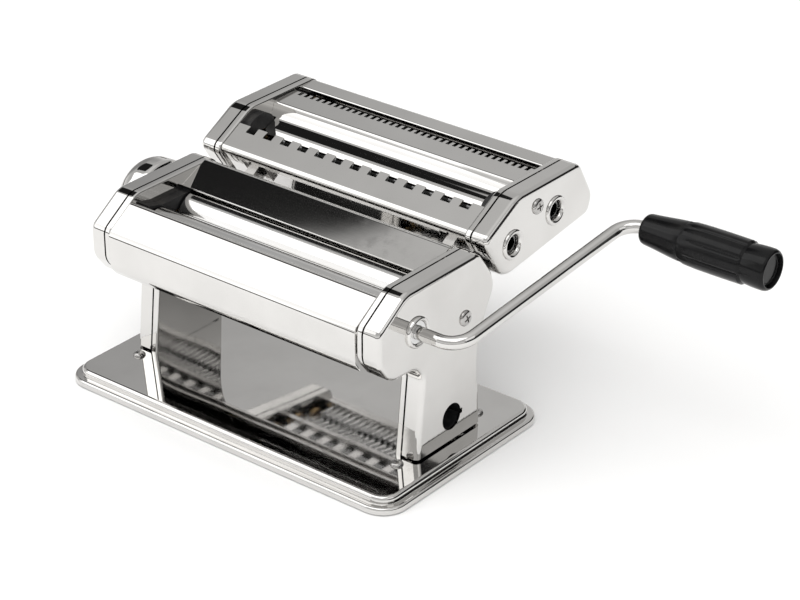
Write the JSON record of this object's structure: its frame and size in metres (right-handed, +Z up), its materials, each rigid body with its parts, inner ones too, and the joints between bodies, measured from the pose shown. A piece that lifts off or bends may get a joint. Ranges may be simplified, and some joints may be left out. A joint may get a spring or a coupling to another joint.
{
  "type": "manual pasta machine",
  "caption": "Hand-cranked sheet roller for pasta dough on a flat base, with a lift-off head of ribbon cutters, a thickness knob and a removable crank.",
  "frame": {"origin": "centre of the base's underside, on the surface the machine stands on", "axes": "+X towards the crank's side, -Y towards the front cover, +Z up"},
  "size_m": [0.3339, 0.1841, 0.1231],
  "materials": {
    "polished_sheet": "mirror-polished plated sheet steel of covers, trays and base",
    "plate_steel": "polished structural plate with fine grain",
    "roller_steel": "ground and plated rollers and cutting discs",
    "chromed_rod": "bright plated crank rod",
    "knob_chrome": "bright plated knob",
    "fastener_steel": "bright zinc-plated screws, rods and posts",
    "gear_steel": "dark oiled steel gears",
    "bush_bronze": "sintered bronze bushes and blocks",
    "grip_plastic": "black moulded plastic with flutes",
    "dark_plastic": "black moulded end guards and sleeves",
    "mat_rubber": "dark non-slip rubber underlay"
  },
  "bodies": {
    "machine": {"base_plate": "polished_sheet", "base_mat": "mat_rubber", "base_stiffeners": "plate_steel", "base_screws": "fastener_steel", "leg_screws": "fastener_steel", "left_inner_plate": "plate_steel", "right_inner_plate": "plate_steel", "left_cover": "polished_sheet", "right_cover": "polished_sheet", "leg_sockets": "dark_plastic", "cover_posts": "fastener_steel", "cover_screws": "fastener_steel", "front_cover": "polished_sheet", "feed_tray": "polished_sheet", "rear_cover": "polished_sheet", "tie_rods": "fastener_steel", "tie_screws": "fastener_steel", "roller_bushes": "bush_bronze", "crank_bush": "polished_sheet", "roller_guards": "dark_plastic", "scrapers": "plate_steel", "cutter_rails": "plate_steel", "index_ring": "polished_sheet"},
    "front_roller": {"front_roller": "roller_steel", "front_roller_gear": "gear_steel"},
    "gap_carriage": {"rear_bearing_blocks": "bush_bronze"},
    "rear_roller": {"rear_roller": "roller_steel", "rear_roller_gear": "gear_steel"},
    "crank": {"crank_rod": "chromed_rod"},
    "grip": {"grip": "grip_plastic", "grip_end_cap": "grip_plastic"},
    "regulator": {"regulator_shaft": "fastener_steel"},
    "knob": {"regulator_knob": "knob_chrome", "index_pin": "fastener_steel", "knob_spring": "fastener_steel"},
    "cutting_head": {"cutter_left_inner_plate": "plate_steel", "cutter_right_inner_plate": "plate_steel", "cutter_left_cover": "polished_sheet", "cutter_right_cover": "polished_sheet", "cutter_front_plate": "polished_sheet", "cutter_mid_plate": "polished_sheet", "cutter_rear_plate": "polished_sheet", "cutter_tie_rods": "fastener_steel", "cutter_tie_screws": "fastener_steel", "cutter_cover_posts": "fastener_steel", "cutter_cover_screws": "fastener_steel", "cutter_bushes": "bush_bronze", "drive_socket_rings": "polished_sheet", "cutter_guards": "dark_plastic", "cutter_hooks": "plate_steel", "wide_combs": "plate_steel", "fine_combs": "plate_steel"},
    "wide_cutter_front": {"wide_roller_front": "roller_steel", "wide_gear_front": "gear_steel"},
    "wide_cutter_rear": {"wide_roller_rear": "roller_steel", "wide_gear_rear": "gear_steel"},
    "fine_cutter_front": {"fine_roller_front": "roller_steel", "fine_gear_front": "gear_steel"},
    "fine_cutter_rear": {"fine_roller_rear": "roller_steel", "fine_gear_rear": "gear_steel"}
  },
  "joints": [
    {"name": "roller_turn", "type": "hinge", "parent": "machine", "child": "front_roller", "pos_m": [0, -0.0236, 0.0817], "axis": [1, 0, 0], "continuous": true},
    {"name": "gap_shift", "type": "slide", "parent": "machine", "child": "gap_carriage", "axis": [0, 1, 0], "range_m": [0, 0.0042]},
    {"name": "rear_roller_turn", "type": "hinge", "parent": "gap_carriage", "child": "rear_roller", "pos_m": [0, 0.004, 0.0817], "axis": [1, 0, 0], "continuous": true},
    {"name": "crank_pull", "type": "slide", "parent": "front_roller", "child": "crank", "axis": [1, 0, 0], "range_m": [0, 0.03]},
    {"name": "grip_spin", "type": "hinge", "parent": "crank", "child": "grip", "pos_m": [0.15, 0.09429, 0.1071], "axis": [1, 0, 0], "continuous": true},
    {"name": "regulator_turn", "type": "hinge", "parent": "machine", "child": "regulator", "pos_m": [0, 0.004, 0.0817], "axis": [1, 0, 0], "range_deg": [0, 270]},
    {"name": "knob_pull", "type": "slide", "parent": "regulator", "child": "knob", "axis": [-1, 0, 0], "range_m": [0, 0.005], "stiffness_N_per_m": 900, "springref_m": -0.001, "deforming": ["knob_spring"]},
    {"name": "head_lift", "type": "slide", "parent": "machine", "child": "cutting_head", "axis": [0, -0.5461, 0.8377], "range_m": [0, 0.045]},
    {"name": "wide_front_turn", "type": "hinge", "parent": "cutting_head", "child": "wide_cutter_front", "pos_m": [0, 0.052, 0.0988], "axis": [1, 0, 0], "continuous": true},
    {"name": "wide_rear_turn", "type": "hinge", "parent": "cutting_head", "child": "wide_cutter_rear", "pos_m": [0, 0.06823, 0.10114], "axis": [1, 0, 0], "continuous": true},
    {"name": "fine_front_turn", "type": "hinge", "parent": "cutting_head", "child": "fine_cutter_front", "pos_m": [0, 0.0876, 0.1042], "axis": [1, 0, 0], "continuous": true},
    {"name": "fine_rear_turn", "type": "hinge", "parent": "cutting_head", "child": "fine_cutter_rear", "pos_m": [0, 0.10383, 0.10654], "axis": [1, 0, 0], "continuous": true}
  ],
  "couplings": [
    {"joint": "rear_roller_turn", "follows": "roller_turn", "ratio": -1},
    {"joint": "regulator_turn", "follows": "gap_shift", "rad_per_m": 1122},
    {"joint": "wide_rear_turn", "follows": "wide_front_turn", "ratio": -1},
    {"joint": "fine_rear_turn", "follows": "fine_front_turn", "ratio": -1}
  ]
}
